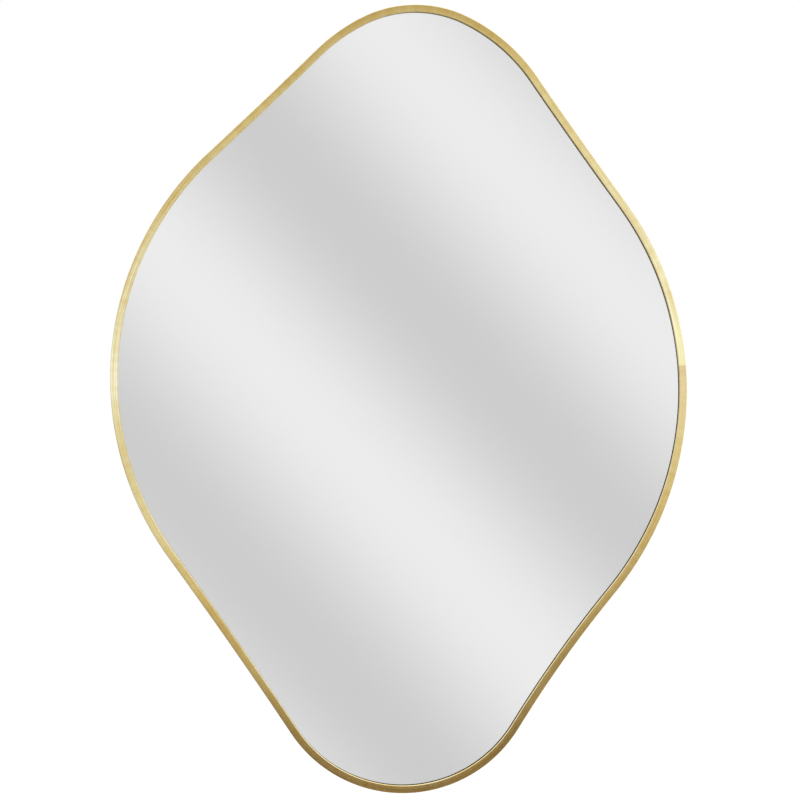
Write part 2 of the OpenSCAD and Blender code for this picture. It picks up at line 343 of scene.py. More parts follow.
class Outline:
    """The frame's outer edge at the front, as a line that starts and ends at the seam."""

    def __init__(self) -> None:
        """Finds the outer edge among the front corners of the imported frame."""
        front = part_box("frame")[0].y
        corners = corner_array(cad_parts["frame"].data)
        flat = corners[abs(corners[:, 1] - front) < MERGE][:, [0, 2]]
        flat = np.unique(np.round(flat / MERGE).astype(int), axis=0) * MERGE
        glass = corner_array(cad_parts["mirror_glass"].data)[:, [0, 2]]
        glass = glass[np.argsort(self._bearing(glass))]
        edge = np.interp(self._bearing(flat), self._bearing(glass),
                         np.hypot(*glass.T), period=2 * math.pi)
        outer = flat[np.hypot(*flat.T) > edge]
        outer = outer[np.argsort(self._bearing(outer))]
        steps = np.hypot(*(np.roll(outer, -1, axis=0) - outer).T)
        # The two corners at the seam are far closer together than any others
        self.points = np.roll(outer, -int(np.argmin(steps)) - 1, axis=0)
        self.steps = np.hypot(*np.diff(self.points, axis=0).T)
        self.starts = np.concatenate([[0.0], np.cumsum(self.steps)])[:-1]
        self.length = float(self.steps.sum())

    @staticmethod
    def _bearing(points: np.ndarray) -> np.ndarray:
        """Returns the bearing of each point from the origin."""
        return np.arctan2(points[:, 1], points[:, 0])

    def measure(self, corners: np.ndarray) -> tuple[np.ndarray, np.ndarray]:
        """Measures where corners lie along the outline and how far inside it.

        Args:
            corners: Rows of x, y and z.

        Returns:
            For each corner its distance along the outline from the seam, and inwards.
        """
        flat = corners[:, None, [0, 2]]
        begin = self.points[:-1]
        ahead = np.diff(self.points, axis=0) / self.steps[:, None]
        offset = flat - begin
        run = np.clip((offset * ahead).sum(axis=2), 0, self.steps)
        gap = offset - run[:, :, None] * ahead
        distance = np.hypot(gap[:, :, 0], gap[:, :, 1])
        nearest = distance.argmin(axis=1)
        rows = np.arange(len(corners))
        side = ahead[nearest, 0] * gap[rows, nearest, 1] - ahead[nearest, 1] * gap[rows, nearest, 0]
        inward = np.where(side < 0, -1, 1) * distance[rows, nearest]
        return self.starts[nearest] + run[rows, nearest], inward


@dataclass(frozen=True)
class BrushedBrassTone(Finish):
    """Aluminium profile, brushed lengthwise and anodised in a pale brass tone.

    The brushing stretches highlights across the profile, and the rollers that bent it leave
    soft bands of tone across its face every few millimetres. At the seam one end is painted
    paler as a highlight and the other warmer as painted shade, with a darker patch between.
    """

    length: float
    name: str = "brushed_brass_tone"
    light: str = "#EEDFB6"
    deep: str = "#D9BF82"
    # Painted shade on the end where U ends, a painted highlight on the end where U starts, and a
    # darker patch right at the seam
    shaded_end: str = "#E8CDA3"
    highlighted_end: str = "#F5E6B7"
    seam_patch_tone: str = "#E0C598"
    # How far the painted highlight and shade run out on either side of the seam, and how far
    # from the seam the darker patch reaches
    seam_light_reach: float = 75 * MM
    seam_patch_reach: float = 5.5 * MM
    # The part of the noise that goes all the way from the deep to the light tone
    tone_range: tuple[float, float] = (0.36, 0.64)
    # Roughness from the most to the least polished marks
    roughness: tuple[float, float] = (0.11, 0.18)
    # Marks along the profile spread light across it, a quarter turn from the map's U
    anisotropy: float = 0.6
    anisotropy_turn: float = 0.25
    # Real brush marks are a tenth as wide, and are drawn this coarse so that they show
    mark_mm: tuple[float, float] = (90.0, 0.9)
    roller_band_mm: tuple[float, float] = (9.0, 60.0)
    drift_mm: float = 90.0
    mark_height: float = 0.02 * MM

    def shader(self, tree: bpy.types.NodeTree) -> bpy.types.Node:
        """Adds marks that run along the profile and bands that lie across it."""
        along = add_node(tree, "ShaderNodeUVMap", {"uv_map": BRUSH_MAP}).outputs["UV"]
        marks, bands, drift = (
            add_node(tree, "ShaderNodeTexNoise", {"noise_dimensions": "2D"}, {
                "Vector": add_node(tree, "ShaderNodeMapping", {}, {
                    "Vector": along, "Scale": (*repeats(*spacing), 1)}).outputs["Vector"],
                "Scale": 1.0, "Detail": detail, "Roughness": 0.6}).outputs["Fac"]
            for spacing, detail in (
                (self.mark_mm, 4.0), (self.roller_band_mm, 2.0), ((self.drift_mm,) * 2, 1.0)))
        fine = add_node(tree, "ShaderNodeMix", {}, {
            "Factor": 0.35, "A": marks, "B": bands}).outputs["Result"]
        tone = add_node(tree, "ShaderNodeMix", {}, {
            "Factor": 0.3, "A": fine, "B": drift}).outputs["Result"]
        spread = add_node(tree, "ShaderNodeMapRange", {}, {
            "Value": tone, "From Min": self.tone_range[0],
            "From Max": self.tone_range[1]}).outputs["Result"]
        colour = add_node(tree, "ShaderNodeMix", {"data_type": "RGBA"}, {
            "Factor": spread, 6: linear(self.deep), 7: linear(self.light)}).outputs[2]
        # Paints a highlight and shade onto the two ends at the seam, with a darker patch between
        colour = self._paint_seam_light(tree, along, colour)
        roughness = add_node(tree, "ShaderNodeMapRange", {}, {
            "Value": marks, "From Min": 0.7, "From Max": 0.3,
            "To Min": self.roughness[0], "To Max": self.roughness[1]}).outputs["Result"]
        bump = add_node(tree, "ShaderNodeBump", {}, {
            "Height": marks, "Strength": 0.2, "Distance": self.mark_height}).outputs["Normal"]
        tangent = add_node(tree, "ShaderNodeTangent", {
            "direction_type": "UV_MAP", "uv_map": BRUSH_MAP}).outputs["Tangent"]
        return add_node(tree, "ShaderNodeBsdfPrincipled", {}, {
            "Base Color": colour, "Metallic": 1.0, "Roughness": roughness,
            "Anisotropic": self.anisotropy, "Anisotropic Rotation": self.anisotropy_turn,
            "Normal": bump, "Tangent": tangent})

    def _paint_seam_light(self, tree: bpy.types.NodeTree, along: bpy.types.NodeSocket,
                      colour: bpy.types.NodeSocket) -> bpy.types.NodeSocket:
        """Adds painted light at the seam: a highlight on one end, shade on the other, and a darker
        patch.

        Args:
            tree: The finish's node tree.
            along: The map along the profile, whose U starts and ends at the seam.
            colour: The colour of the rest of the profile.

        Returns:
            The colour with the painted highlight and shade on the ends, and the darker patch.
        """
        run = add_node(tree, "ShaderNodeSeparateXYZ", {}, {0: along}).outputs["X"]
        half = self.length / 2
        # Distance from the seam, which is negative on the side where U ends
        past = add_node(tree, "ShaderNodeMath", {"operation": "WRAP"}, {
            0: run, 1: half, 2: -half}).outputs[0]
        place = add_node(tree, "ShaderNodeMapRange", {}, {
            "Value": past, "From Min": -self.seam_light_reach, "From Max": self.seam_light_reach
        }).outputs["Result"]
        ramp = add_node(tree, "ShaderNodeValToRGB", {}, {"Fac": place})
        stops = ramp.color_ramp.elements
        # warm is painted shade on the end where U ends, pale a painted highlight on the end where U
        # starts, and the third tone a darker patch right at the seam
        warm, pale, patch_colour = (linear(tone)[:3] for tone in (
            self.shaded_end, self.highlighted_end, self.seam_patch_tone))
        stops[0].position, stops[0].color = 0.0, (*warm, 0.0)
        stops[1].position, stops[1].color = 1.0, (*pale, 0.0)
        patch, blur = self.seam_patch_reach / self.seam_light_reach / 2, 0.002
        for position, tone, share in (
                (0.25, warm, 0.6), (0.5 - patch - blur, warm, 0.65),
                (0.5 - patch, patch_colour, 1.0), (0.5 + patch, patch_colour, 1.0),
                (0.5 + patch + blur, pale, 0.9), (0.75, pale, 0.8)):
            stops.new(position).color = (*tone, share)
        return add_node(tree, "ShaderNodeMix", {"data_type": "RGBA"}, {
            "Factor": ramp.outputs["Alpha"], 6: colour, 7: ramp.outputs["Color"]}).outputs[2]


@dataclass(frozen=True)
class FloatGlass(Finish):
    """Clear soda-lime float glass, fire-polished on both faces, faintly green in depth."""

    name: str = "float_glass"
    tint: str = "#FEFFFE"
    ior: float = 1.52

    def shader(self, tree: bpy.types.NodeTree) -> bpy.types.Node:
        """Adds a clear, perfectly smooth glass."""
        return add_node(tree, "ShaderNodeBsdfPrincipled", {}, {
            "Base Color": linear(self.tint), "Roughness": 0.0, "IOR": self.ior,
            "Transmission Weight": 1.0})


@dataclass(frozen=True)
class SilverCoat(Finish):
    """Silver laid chemically on the back of the glass: a neutral, perfectly sharp mirror."""

    name: str = "silver_coat"
    colour: str = "#F8F8F8"

    def shader(self, tree: bpy.types.NodeTree) -> bpy.types.Node:
        """Adds a neutral metal without any roughness."""
        return add_node(tree, "ShaderNodeBsdfPrincipled", {}, {
            "Base Color": linear(self.colour), "Metallic": 1.0, "Roughness": 0.0})


@dataclass(frozen=True)
class FoamTape(Finish):
    """Closed-cell polyethylene foam tape: matt, with fine cells in its skin."""

    name: str
    skin: str
    cell_wall: str
    # Real cells are half as wide, and are drawn this coarse so that they show
    cell_mm: float = 0.4
    cell_depth: float = 0.08 * MM
    roughness: float = 0.85

    def shader(self, tree: bpy.types.NodeTree) -> bpy.types.Node:
        """Adds cells with slightly darker walls."""
        place = add_node(tree, "ShaderNodeTexCoord").outputs["Object"]
        cells = add_node(tree, "ShaderNodeTexVoronoi", {}, {
            "Vector": place, "Scale": repeats(self.cell_mm)[0]}).outputs["Distance"]
        colour = add_node(tree, "ShaderNodeMix", {"data_type": "RGBA"}, {
            "Factor": cells, 6: linear(self.skin), 7: linear(self.cell_wall)}).outputs[2]
        bump = add_node(tree, "ShaderNodeBump", {"invert": True}, {
            "Height": cells, "Strength": 0.4, "Distance": self.cell_depth}).outputs["Normal"]
        return add_node(tree, "ShaderNodeBsdfPrincipled", {}, {
            "Base Color": colour, "Roughness": self.roughness, "Normal": bump})


@dataclass(frozen=True)
class SafetyFilm(Finish):
    """Polyethylene film glued to the back of the glass: grey, softly glossy and rippled."""

    name: str = "grey_safety_film"
    crest: str = "#959BA2"
    trough: str = "#868C94"
    ripple_mm: float = 14.0
    ripple_height: float = 0.1 * MM
    roughness: float = 0.4

    def shader(self, tree: bpy.types.NodeTree) -> bpy.types.Node:
        """Adds shallow ripples where the film was rolled on."""
        place = add_node(tree, "ShaderNodeTexCoord").outputs["Object"]
        ripple = add_node(tree, "ShaderNodeTexNoise", {}, {
            "Vector": place, "Scale": repeats(self.ripple_mm)[0],
            "Detail": 3.0}).outputs["Fac"]
        colour = add_node(tree, "ShaderNodeMix", {"data_type": "RGBA"}, {
            "Factor": ripple, 6: linear(self.trough), 7: linear(self.crest)}).outputs[2]
        bump = add_node(tree, "ShaderNodeBump", {}, {
            "Height": ripple, "Strength": 0.3, "Distance": self.ripple_height
        }).outputs["Normal"]
        return add_node(tree, "ShaderNodeBsdfPrincipled", {}, {
            "Base Color": colour, "Roughness": self.roughness, "Normal": bump})


@dataclass(frozen=True)
class ZincPlate(Finish):
    """Stamped or drawn steel with bright zinc plating: cool grey, softly mottled, satin."""

    name: str = "zinc_plate"
    light: str = "#D6DADD"
    dark: str = "#AEB4BA"
    mottle_mm: float = 2.2
    grain_mm: float = 0.25
    grain_height: float = 0.02 * MM
    # Roughness from the palest to the darkest mottles
    roughness: tuple[float, float] = (0.22, 0.36)

    def shader(self, tree: bpy.types.NodeTree) -> bpy.types.Node:
        """Adds soft mottles with a fine grain over them."""
        place = add_node(tree, "ShaderNodeTexCoord").outputs["Object"]
        mottle, grain = (
            add_node(tree, "ShaderNodeTexNoise", {}, {
                "Vector": place, "Scale": repeats(size)[0], "Detail": 3.0,
                "Roughness": 0.6}).outputs["Fac"]
            for size in (self.mottle_mm, self.grain_mm))
        spread = add_node(tree, "ShaderNodeMapRange", {}, {
            "Value": mottle, "From Min": 0.3, "From Max": 0.7}).outputs["Result"]
        colour = add_node(tree, "ShaderNodeMix", {"data_type": "RGBA"}, {
            "Factor": spread, 6: linear(self.dark), 7: linear(self.light)}).outputs[2]
        roughness = add_node(tree, "ShaderNodeMapRange", {}, {
            "Value": spread, "To Min": self.roughness[1],
            "To Max": self.roughness[0]}).outputs["Result"]
        bump = add_node(tree, "ShaderNodeBump", {}, {
            "Height": grain, "Strength": 0.25, "Distance": self.grain_height
        }).outputs["Normal"]
        return add_node(tree, "ShaderNodeBsdfPrincipled", {}, {
            "Base Color": colour, "Metallic": 1.0, "Roughness": roughness, "Normal": bump})


@dataclass(frozen=True)
class Fibreboard(Finish):
    """Medium-density fibreboard, sanded: warm brown, with short pale and dark fibres."""

    name: str = "sanded_fibreboard"
    pale: str = "#C9AB82"
    base: str = "#B08D64"
    dark: str = "#8A6A46"
    cloud_tint: str = "#A98A66"
    # Length and width of a bundle of fibres
    fibre_mm: tuple[float, float] = (3.5, 0.5)
    cloud_mm: float = 45.0
    fibre_height: float = 0.06 * MM
    roughness: float = 0.72

    def shader(self, tree: bpy.types.NodeTree) -> bpy.types.Node:
        """Adds two families of fibres, which lie crosswise, and slow clouds of tone."""
        place = add_node(tree, "ShaderNodeTexCoord").outputs["Object"]
        length, width = self.fibre_mm
        upright, level = (
            add_node(tree, "ShaderNodeTexNoise", {}, {
                "Vector": add_node(tree, "ShaderNodeMapping", {}, {
                    "Vector": place, "Scale": repeats(*spacing)}).outputs["Vector"],
                "Scale": 1.0, "Detail": 4.0, "Roughness": 0.65,
                "Distortion": 1.2}).outputs["Fac"]
            for spacing in ((width, 1.0, length), (length, 1.0, width)))
        fibres = add_node(tree, "ShaderNodeMath", {"operation": "MULTIPLY"}, {
            0: upright, 1: level}).outputs[0]
        ramp = add_node(tree, "ShaderNodeValToRGB", {}, {"Fac": fibres})
        stops = ramp.color_ramp.elements
        stops[0].position, stops[0].color = 0.12, linear(self.dark)
        stops[1].position, stops[1].color = 0.40, linear(self.pale)
        stops.new(0.25).color = linear(self.base)
        cloud = add_node(tree, "ShaderNodeTexNoise", {}, {
            "Vector": place, "Scale": repeats(self.cloud_mm)[0],
            "Detail": 4.0}).outputs["Fac"]
        share = add_node(tree, "ShaderNodeMapRange", {}, {
            "Value": cloud, "From Min": 0.4, "From Max": 0.7, "To Max": 0.5}).outputs["Result"]
        colour = add_node(tree, "ShaderNodeMix", {"data_type": "RGBA"}, {
            "Factor": share, 6: ramp.outputs["Color"], 7: linear(self.cloud_tint)}).outputs[2]
        bump = add_node(tree, "ShaderNodeBump", {}, {
            "Height": fibres, "Strength": 0.35, "Distance": self.fibre_height
        }).outputs["Normal"]
        return add_node(tree, "ShaderNodeBsdfPrincipled", {}, {
            "Base Color": colour, "Roughness": self.roughness, "Normal": bump})


@dataclass(frozen=True)
class MouldedRubber(Finish):
    """Moulded synthetic rubber: dark grey and matt, with a fine spark-eroded grain."""

    name: str = "moulded_rubber"
    peak: str = "#434345"
    pit: str = "#323234"
    grain_mm: float = 0.35
    grain_height: float = 0.05 * MM
    # Roughness from the pits to the peaks of the grain
    roughness: tuple[float, float] = (0.75, 0.5)

    def shader(self, tree: bpy.types.NodeTree) -> bpy.types.Node:
        """Adds the grain of the mould."""
        place = add_node(tree, "ShaderNodeTexCoord").outputs["Object"]
        grain = add_node(tree, "ShaderNodeTexNoise", {}, {
            "Vector": place, "Scale": repeats(self.grain_mm)[0],
            "Detail": 2.0}).outputs["Fac"]
        colour = add_node(tree, "ShaderNodeMix", {"data_type": "RGBA"}, {
            "Factor": grain, 6: linear(self.pit), 7: linear(self.peak)}).outputs[2]
        roughness = add_node(tree, "ShaderNodeMapRange", {}, {
            "Value": grain, "To Min": self.roughness[0],
            "To Max": self.roughness[1]}).outputs["Result"]
        bump = add_node(tree, "ShaderNodeBump", {}, {
            "Height": grain, "Strength": 0.4, "Distance": self.grain_height
        }).outputs["Normal"]
        return add_node(tree, "ShaderNodeBsdfPrincipled", {}, {
            "Base Color": colour, "Roughness": roughness, "Normal": bump})


@dataclass
class ProfileFrame:
    """The bent profile with its lip, wall and rib, and the plate that joins its ends."""

    # The lip's inner edge is a flat chamfer, which catches light as one thin line
    inner_chamfer: float = 0.75 * MM
    outer_arris: float = 0.5 * MM
    rear_arris: float = 0.25 * MM
    arris_segments: int = 3
    # How far from its measured inset an edge is still looked for
    arris_search: float = 0.3 * MM
    # A face that looks at least this much forwards or back is mapped as the lip is
    level_share: float = 0.75
    plate_arris: float = 0.2 * MM

    def build(self, outline: Outline, profile: bpy.types.Material,
              zinc: bpy.types.Material) -> None:
        """Builds and dresses the frame, its joint plate and their screws.

        Args:
            outline: The frame's outer edge.
            profile: The profile's finish.
            zinc: The finish of the plate and its screws.
        """
        ring = self._ring(outline)
        self._map_brushing(ring, outline)
        shade(ring)
        hand_over(ring, Body.MIRROR, Slot.PROFILE, [profile], "frame")
        plate = copy_of("joint_plate", "joint_plate_rounded")
        round_sharp_edges(plate, self.plate_arris)
        shade(plate)
        hand_over(plate, Body.MIRROR, Slot.HARDWARE, [zinc], "joint_plate")
        screws = copy_of("joint_screws", "joint_screws_rounded")
        round_sharp_edges(screws, SCREW_ARRIS)
        shade(screws)
        hand_over(screws, Body.MIRROR, Slot.HARDWARE, [zinc], "joint_screws")

    def _ring(self, outline: Outline) -> bpy.types.Object:
        """Copies the bent profile, chamfers its lip and rounds its two outer arrises."""
        ring = copy_of("frame", "brushed_frame")
        low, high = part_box("frame")
        arrises = ((low.y, 0.0, self.outer_arris, self.arris_segments),
                   (low.y, self._lip_width(outline), self.inner_chamfer, 1),
                   (high.y, 0.0, self.rear_arris, self.arris_segments))
        for level, inset, width, segments in arrises:
            def on_arris(corners: np.ndarray) -> np.ndarray:
                """Says which corners lie at this level and inset."""
                inward = outline.measure(corners)[1]
                level_fits = abs(corners[:, 1] - level) < MERGE
                return level_fits & (abs(inward - inset) < self.arris_search)
            count = select_edges(ring, on_arris)
            with editing(ring):
                bpy.ops.mesh.bevel(offset=width, segments=segments, profile=0.5,
                                   affect="EDGES")
            LOG.info("arris at inset %.1f mm: %d edges", inset / MM, count)
        # Short faces let the map that runs along the profile follow its bends
        select_faces(ring, lambda face: len(face.vertices) > 4)
        with editing(ring, Select.FACES):
            bpy.ops.mesh.quads_convert_to_tris(ngon_method="BEAUTY")
            bpy.ops.mesh.tris_convert_to_quads(face_threshold=FLAT_ANGLE)
        return ring

    @staticmethod
    def _lip_width(outline: Outline) -> float:
        """Measures the front lip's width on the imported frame."""
        corners = corner_array(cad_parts["frame"].data)
        front = corners[abs(corners[:, 1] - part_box("frame")[0].y) < MERGE]
        return float(outline.measure(front)[1].max())

    def _map_brushing(self, ring: bpy.types.Object, outline: Outline) -> None:
        """Lays a map along the profile: U runs along it and V across it, in metres."""
        mesh = ring.data
        corners = corner_array(mesh)
        along, inward = outline.measure(corners)
        depth = corners[:, 1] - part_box("frame")[0].y
        middles = outline.measure(np.array([face.center for face in mesh.polygons]))[0]
        half = outline.length / 2
        layer = mesh.uv_layers.new(name=BRUSH_MAP)
        # On the outer wall the map runs on from the lip's outer side, and else from its inner
        turned = inward + np.where(inward > inward.max() / 4, depth, -depth)
        for face, middle in zip(mesh.polygons, middles):
            across = inward if abs(face.normal.y) > self.level_share else turned
            for loop in face.loop_indices:
                corner = mesh.loops[loop].vertex_index
                # A corner at the seam may be measured from the seam's other side
                offset = (along[corner] - middle + half) % outline.length - half
                layer.data[loop].uv = (middle + offset, across[corner])


@dataclass
class Mirror:
    """The silvered glass with its tape, and the film and foam strips behind it."""

    # The coat keeps this far from the film behind it
    coat_gap: float = 0.05 * MM
    silver_number: int = 1

    def build(self, glass: bpy.types.Material, silver: bpy.types.Material,
              tape: bpy.types.Material, foam: bpy.types.Material,
              film: bpy.types.Material) -> None:
        """Builds the silvered pane, and dresses what holds it.

        Args:
            glass: The finish of the pane's front and edges.
            silver: The coat on its back.
            tape: The finish of the tape behind the lip.
            foam: The finish of the bonding strips.
            film: The finish of the safety film.
        """
        pane = copy_of("mirror_glass", "silvered_pane")
        select_faces(pane, lambda face: face.normal.y > FACES_BACK)
        with editing(pane, Select.FACES):
            bpy.ops.transform.translate(value=(0, -self.coat_gap, 0))
        for face in pane.data.polygons:
            # The glass is clear right through, and only its back carries the silver
            face.material_index = self.silver_number if face.select else 0
        hand_over(pane, Body.MIRROR, Slot.GLASS, [glass, silver], "mirror_glass")
        dress_node("glazing_tape", tape)
        dress_node("bonding_strips", foam)
        dress_node("safety_film", film)


@dataclass
class Backing:
    """The fibreboard that closes the back, and the rubber bumpers on it."""

    board_arris: float = 0.4 * MM
    # The least area of a face on the board's rim, which is more than in a screw hole
    rim_face: float = 6 * MM * MM
    bumpers: tuple[str, ...] = ("bumper_top", "bumper_bottom", "bumper_left", "bumper_right")
    bumper_face_r: float = 4.5 * MM
    bumper_edge: float = 0.8 * MM
    bumper_foot_lip: float = 0.35 * MM
    dimple_rim: float = 1.5 * MM
    dimple_slope: float = 0.5 * MM
    dimple_depth: float = 0.7 * MM

    def build(self, board: bpy.types.Material, rubber: bpy.types.Material) -> None:
        """Builds and dresses the board and the four bumpers.

        Args:
            board: The board's finish.
            rubber: The bumpers' finish.
        """
        panel = copy_of("backing_board", "backing_panel")
        self._chamfer_rim(panel)
        shade(panel)
        hand_over(panel, Body.MIRROR, Slot.BOARD, [board], "backing_board")
        first = self._bumper(self.bumpers[0])
        for node in self.bumpers:
            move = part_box(node)[0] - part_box(self.bumpers[0])[0]
            bumper = twin_of(first, node + "_moulded", Matrix.Translation(move))
            hand_over(bumper, Body.MIRROR, Slot.RUBBER, [rubber], node)
        bpy.data.objects.remove(first)

    def _chamfer_rim(self, panel: bpy.types.Object) -> None:
        """Takes the sharp corner off the board's rear rim, and leaves its holes alone."""
        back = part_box("backing_board")[1].y
        mesh = panel.data
        corners = corner_array(mesh)
        facing = {}
        for face in mesh.polygons:
            for key in face.edge_keys:
                facing.setdefault(key, []).append(face)
        clear_selection(mesh)
        for edge in mesh.edges:
            level = bool((abs(corners[list(edge.vertices), 1] - back) < MERGE).all())
            sides = [face for face in facing[edge.key] if abs(face.normal.y) < 0.5]
            # A hole's wall faces its own middle, and the rim's faces away from the board's
            edge.select = level and any(face.area > self.rim_face for face in sides)
        with editing(panel):
            bpy.ops.mesh.bevel(offset=self.board_arris, segments=1, affect="EDGES")

    def _bumper(self, node: str) -> bpy.types.Object:
        """Models a bumper in a node's place: a cone with round edges and a dimple."""
        low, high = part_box(node)
        deselect_all()
        bpy.ops.mesh.primitive_cone_add(
            vertices=64, radius1=(high.x - low.x) / 2, radius2=self.bumper_face_r,
            depth=high.y - low.y, location=(low + high) / 2, rotation=(-math.pi / 2, 0, 0))
        bumper = bpy.context.object
        bpy.ops.object.transform_apply(location=True, rotation=True, scale=True)
        for level, width in ((high.y, self.bumper_edge), (low.y, self.bumper_foot_lip)):
            select_edges(bumper, lambda corners: abs(corners[:, 1] - level) < MERGE)
            with editing(bumper):
                bpy.ops.mesh.bevel(offset=width, segments=4, profile=0.5, affect="EDGES")
        select_faces(bumper, lambda face: face.normal.y > FACES_BACK)
        with editing(bumper, Select.FACES):
            bpy.ops.mesh.inset(thickness=self.dimple_rim)
            bpy.ops.mesh.inset(thickness=self.dimple_slope, depth=-self.dimple_depth)
        shade(bumper)
        return bumper


@dataclass
class Hanger:
    """One strap screwed to the board, and the ring that swings in its curl."""

    place: str
    side: str
    ring_body: Body
    strap_arris: float = 0.15 * MM

    def build(self, zinc: bpy.types.Material) -> None:
        """Builds and dresses the strap and its ring.

        Args:
            zinc: Their finish.
        """
        strap_node = f"{self.place}_strap_{self.side}"
        strap = copy_of(strap_node, strap_node + "_stamped")
        round_sharp_edges(strap, self.strap_arris)
        shade(strap)
        hand_over(strap, Body.MIRROR, Slot.HARDWARE, [zinc], strap_node)
        ring_node = f"{self.place}_ring_{self.side}"
        ring = copy_of(ring_node, ring_node + "_wire")
        shade(ring)
        hand_over(ring, self.ring_body, Slot.HARDWARE, [zinc], ring_node)


@dataclass
class Studio:
    """The camera, the lamps, the pale floor and the surroundings that the mirror shows.

    The mirror shows soft grey bands that run diagonally, as a draped studio wall gives.
    They are written as levels by direction, so they lie where the photograph has them.
    """

    camera_distance: float = 4.0
    # The camera stands before the mirror's left corner and above its middle, because the
    # lip's inner side shows on the right and at the bottom and not on the left
    stand: tuple[float, float] = (-260 * MM, 140 * MM)
    aim: tuple[float, float] = (0.1 * MM, 0.2 * MM)
    view_width: float = 770.1 * MM
    sensor: float = 36.0
    band_period: float = 300 * MM
    band_bearing: float = math.radians(42.6)
    band_peak: float = -73 * MM
    band_level: float = 0.772
    band_swing: float = 0.124
    # Y of the ways between which the bands fade in, and in which metal sees the wall
    band_edge: tuple[float, float] = (-0.70, -0.95)
    wall_edge: tuple[float, float] = (-0.85, -0.95)
    plain_level: float = 0.55
    # Strength of what metal shows straight ahead, from left to right, and elsewhere
    metal_level: tuple[float, float] = (2.1, 2.9)
    metal_level_reach: float = 0.3
    metal_room_level: float = 2.4
    # Tones that metal shows, each with the height of the way that leads there. Straight
    # in front of the mirror they are a brown floor, its dark end, a cream board, a grey
    # wall with a cool soft light on it, and a dull warm wall above. Round it they are a
    # room that grows lighter upwards.
    wall: tuple[tuple[float, str], ...] = (
        (-0.40, "#806030"), (-0.12, "#201000"), (-0.10, "#B0A070"), (-0.06, "#989C88"),
        (-0.03, "#C0D0E8"), (0.03, "#9C9468"), (0.08, "#706030"), (0.40, "#807050"))
    room: tuple[tuple[float, str], ...] = (
        (-1.0, "#625D54"), (-0.7, "#8D8982"), (-0.2, "#ACABA7"), (0.2, "#BBBBB8"),
        (0.6, "#C4C4C3"), (1.0, "#CCCCCA"))
    # How much higher a way counts for each metre that it goes further right
    wall_tilt: float = -0.18
    room_tilt: float = 0.6
    floor_drop: float = 240 * MM
    floor_size: float = 14.0
    # The floor's own tone, and the tone and glow with which the camera sees it
    floor_tone: float = 0.75
    floor_shadow_tone: float = 0.25
    floor_glow: float = 0.86
    lamp_size: float = 1.6

    def build(self) -> None:
        """Builds the camera, the world, the floor and the lamps."""
        self._camera()
        self._world()
        self._floor()
        self._lamps()

    def _camera(self) -> None:
        """Sets the camera square to the mirror at the photograph's framing."""
        data = bpy.data.cameras.new("camera")
        data.sensor_width = self.sensor
        data.lens = self.sensor * self.camera_distance / self.view_width
        camera = bpy.data.objects.new("camera", data)
        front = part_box("frame")[0].y
        camera.location = (self.stand[0], front - self.camera_distance, self.stand[1])
        ahead = Vector((self.aim[0], front, self.aim[1])) - camera.location
        camera.rotation_euler = ahead.to_track_quat("-Z", "Y").to_euler()
        bpy.context.scene.collection.objects.link(camera)
        bpy.context.scene.camera = camera

    def _world(self) -> None:
        """Makes the surroundings, each kind of ray with what it is there to show."""
        world = bpy.data.worlds.new("studio")
        bpy.context.scene.world = world
        world.use_nodes = True
        world.cycles.sampling_method = "NONE"
        tree = world.node_tree
        tree.nodes.clear()
        way = add_node(tree, "ShaderNodeTexCoord").outputs["Generated"]
        path = add_node(tree, "ShaderNodeLightPath").outputs
        shown = add_node(tree, "ShaderNodeBackground", {}, {
            "Color": (1, 1, 1, 1), "Strength": self.plain_level})
        bands = self._mirror_view(tree, way)
        # A singular ray left a perfectly smooth surface, which here is the glass
        for ray, colour, strength in (
                ("Is Glossy Ray", *self._metal_view(tree, way)),
                ("Is Singular Ray", bands, 1.0),
                ("Is Transmission Ray", bands, 1.0),
                ("Is Camera Ray", (1, 1, 1, 1), 1.0)):
            level = add_node(tree, "ShaderNodeBackground", {}, {
                "Color": colour, "Strength": strength})
            shown = add_node(tree, "ShaderNodeMixShader", {}, {
                0: path[ray], 1: shown.outputs[0], 2: level.outputs[0]})
        add_node(tree, "ShaderNodeOutputWorld", {}, {"Surface": shown.outputs[0]})

    def _mirror_view(self, tree: bpy.types.NodeTree,
                     way: bpy.types.NodeSocket) -> bpy.types.NodeSocket:
        """Adds what the silvered glass shows: soft bands that run down to the right."""
        turn = 2 * math.pi * self.camera_distance / self.band_period
        across = (turn * math.cos(self.band_bearing), 0, turn * math.sin(self.band_bearing))
        seen_from = (self.stand[0] * math.cos(self.band_bearing)
                     + self.stand[1] * math.sin(self.band_bearing))
        peak = 2 * math.pi * (self.band_peak - seen_from) / self.band_period
        run = add_node(tree, "ShaderNodeVectorMath", {"operation": "DOT_PRODUCT"}, {
            0: way, 1: across}).outputs["Value"]
        phase = add_node(tree, "ShaderNodeMath", {"operation": "SUBTRACT"}, {
            0: run, 1: peak}).outputs[0]
        wave = add_node(tree, "ShaderNodeMath", {"operation": "COSINE"}, {0: phase}).outputs[0]
        facing = add_node(tree, "ShaderNodeSeparateXYZ", {}, {0: way}).outputs["Y"]
        swing = add_node(tree, "ShaderNodeMapRange", {"interpolation_type": "SMOOTHSTEP"}, {
            "Value": facing, "From Min": self.band_edge[0], "From Max": self.band_edge[1],
            "To Max": self.band_swing}).outputs["Result"]
        return add_node(tree, "ShaderNodeMath", {"operation": "MULTIPLY_ADD"}, {
            0: wave, 1: swing, 2: self.band_level}).outputs[0]

